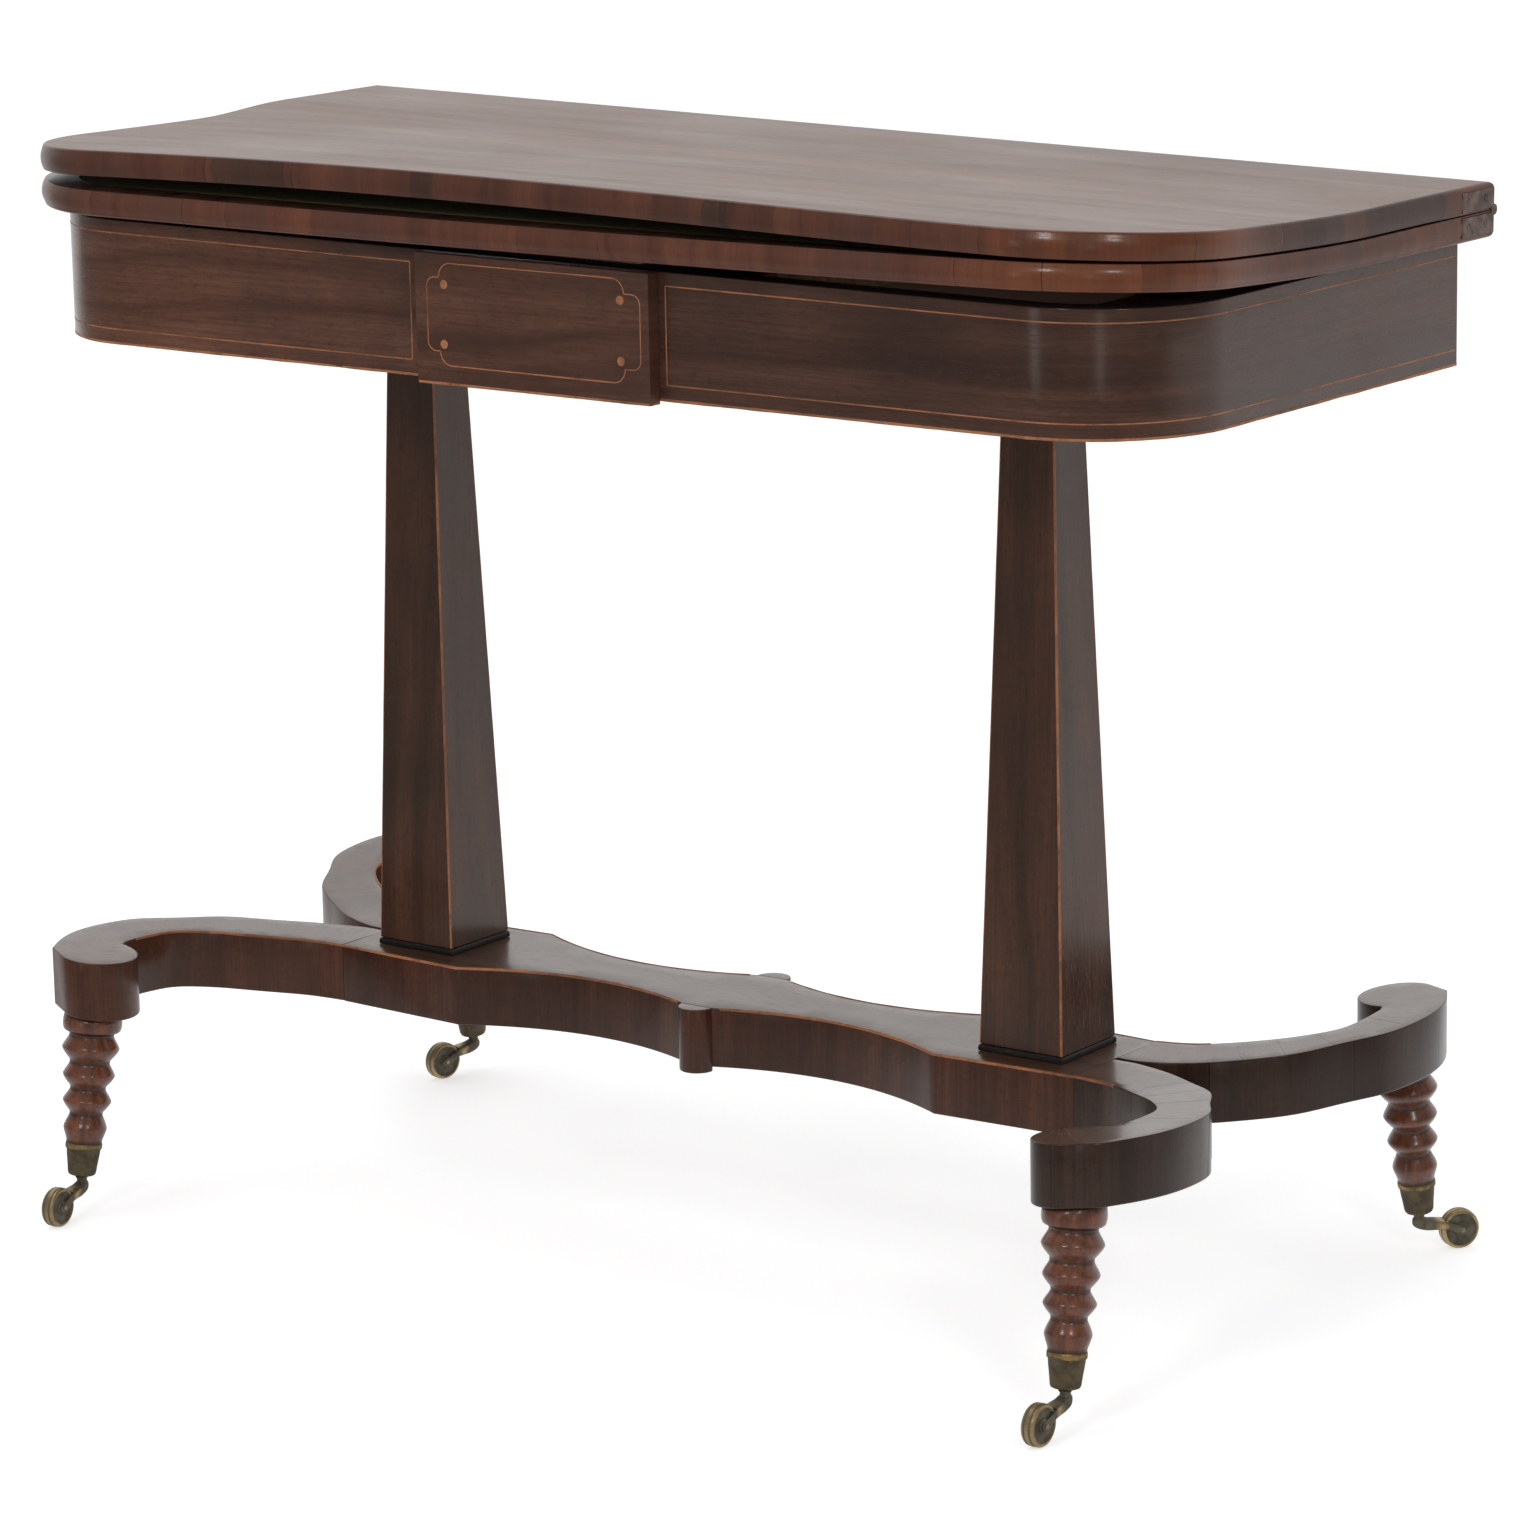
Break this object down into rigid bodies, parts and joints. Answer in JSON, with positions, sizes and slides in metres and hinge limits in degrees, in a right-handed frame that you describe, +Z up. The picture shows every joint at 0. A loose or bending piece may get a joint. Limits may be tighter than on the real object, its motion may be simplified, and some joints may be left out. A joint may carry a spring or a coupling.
{
  "type": "card table",
  "caption": "Rosewood card table with a folding top that swivels on its frame, on two tapered columns, a scrolled platform base, ring-turned feet and brass casters.",
  "frame": {"origin": "on the floor, at the middle of the footprint of the closed table", "axes": "+X along the table's length to the right seen from the front, +Y towards the hinged back edge of the top, +Z up"},
  "size_m": [0.9146, 0.5028, 0.7352],
  "materials": {
    "rosewood": "glossy",
    "top_rosewood": "satin",
    "foot_wood": "glossy",
    "ebonised_wood": "satin",
    "boxwood": "satin",
    "inner_wood": "matte",
    "baize": "matte",
    "old_brass": "satin",
    "dark_iron": "matte"
  },
  "bodies": {
    "frame": {"platform": "rosewood", "arm_front_left": "rosewood", "arm_front_right": "rosewood", "arm_back_left": "rosewood", "arm_back_right": "rosewood", "roundel_front": "rosewood", "roundel_back": "rosewood", "column_left": "rosewood", "column_right": "rosewood", "column_base_left": "ebonised_wood", "column_base_right": "ebonised_wood", "foot_front_left": "foot_wood", "foot_front_right": "foot_wood", "foot_back_left": "foot_wood", "foot_back_right": "foot_wood", "ferrule_front_left": "old_brass", "ferrule_front_right": "old_brass", "ferrule_back_left": "old_brass", "ferrule_back_right": "old_brass", "front_rail": "rosewood", "corner_block_left": "rosewood", "corner_block_right": "rosewood", "end_rail_left": "rosewood", "end_rail_right": "rosewood", "back_rail": "rosewood", "tablet": "rosewood", "bearer_left": "inner_wood", "bearer_right": "inner_wood", "pivot_board": "inner_wood", "well_bottom": "inner_wood", "well_partition": "inner_wood", "stop_stud_closed": "old_brass", "stop_stud_open": "old_brass"},
    "lower_top": {"lower_leaf": "top_rosewood", "lower_baize": "baize", "hinge_lower_left": "old_brass", "hinge_lower_right": "old_brass", "hinge_pin_left": "old_brass", "hinge_pin_right": "old_brass", "pivot_disc": "old_brass", "pivot_bolt": "dark_iron", "pivot_washer": "dark_iron", "pivot_nut": "dark_iron", "stop_peg": "old_brass"},
    "upper_top": {"upper_leaf": "top_rosewood", "upper_baize": "baize", "hinge_upper_left": "old_brass", "hinge_upper_right": "old_brass"},
    "caster_front_left": {"caster_fork_front_left": "old_brass", "caster_axle_front_left": "old_brass"},
    "wheel_front_left": {"caster_wheel_front_left": "old_brass"},
    "caster_front_right": {"caster_fork_front_right": "old_brass", "caster_axle_front_right": "old_brass"},
    "wheel_front_right": {"caster_wheel_front_right": "old_brass"},
    "caster_back_left": {"caster_fork_back_left": "old_brass", "caster_axle_back_left": "old_brass"},
    "wheel_back_left": {"caster_wheel_back_left": "old_brass"},
    "caster_back_right": {"caster_fork_back_right": "old_brass", "caster_axle_back_right": "old_brass"},
    "wheel_back_right": {"caster_wheel_back_right": "old_brass"}
  },
  "joints": [
    {"name": "top_swivel", "type": "hinge", "parent": "frame", "child": "lower_top", "pos_m": [0.10214, 0.10132, 0.68], "axis": [0, 0, 1], "range_deg": [0, 90]},
    {"name": "leaf_fold", "type": "hinge", "parent": "lower_top", "child": "upper_top", "pos_m": [-0.00003, 0.20412, 0.7046], "axis": [-0.9999, 0, 0.0153], "range_deg": [0, 178]},
    {"name": "caster_swivel_front_left", "type": "hinge", "parent": "frame", "child": "caster_front_left", "pos_m": [-0.40288, -0.20883, 0.0283], "axis": [0, 0, 1], "continuous": true},
    {"name": "wheel_spin_front_left", "type": "hinge", "parent": "caster_front_left", "child": "wheel_front_left", "pos_m": [-0.39919, -0.23759, 0.0135], "axis": [0.9919, 0.1271, 0], "continuous": true},
    {"name": "caster_swivel_front_right", "type": "hinge", "parent": "frame", "child": "caster_front_right", "pos_m": [0.40216, -0.20883, 0.0283], "axis": [0, 0, 1], "continuous": true},
    {"name": "wheel_spin_front_right", "type": "hinge", "parent": "caster_front_right", "child": "wheel_front_right", "pos_m": [0.40196, -0.23783, 0.0135], "axis": [1, -0.007, 0], "continuous": true},
    {"name": "caster_swivel_back_left", "type": "hinge", "parent": "frame", "child": "caster_back_left", "pos_m": [-0.40288, 0.21447, 0.0283], "axis": [0, 0, 1], "continuous": true},
    {"name": "wheel_spin_back_left", "type": "hinge", "parent": "caster_back_left", "child": "wheel_back_left", "pos_m": [-0.4094, 0.18621, 0.0135], "axis": [0.9744, -0.225, 0], "continuous": true},
    {"name": "caster_swivel_back_right", "type": "hinge", "parent": "frame", "child": "caster_back_right", "pos_m": [0.40216, 0.21447, 0.0283], "axis": [0, 0, 1], "continuous": true},
    {"name": "wheel_spin_back_right", "type": "hinge", "parent": "caster_back_right", "child": "wheel_back_right", "pos_m": [0.41854, 0.2384, 0.0135], "axis": [-0.8251, 0.565, 0], "continuous": true}
  ]
}
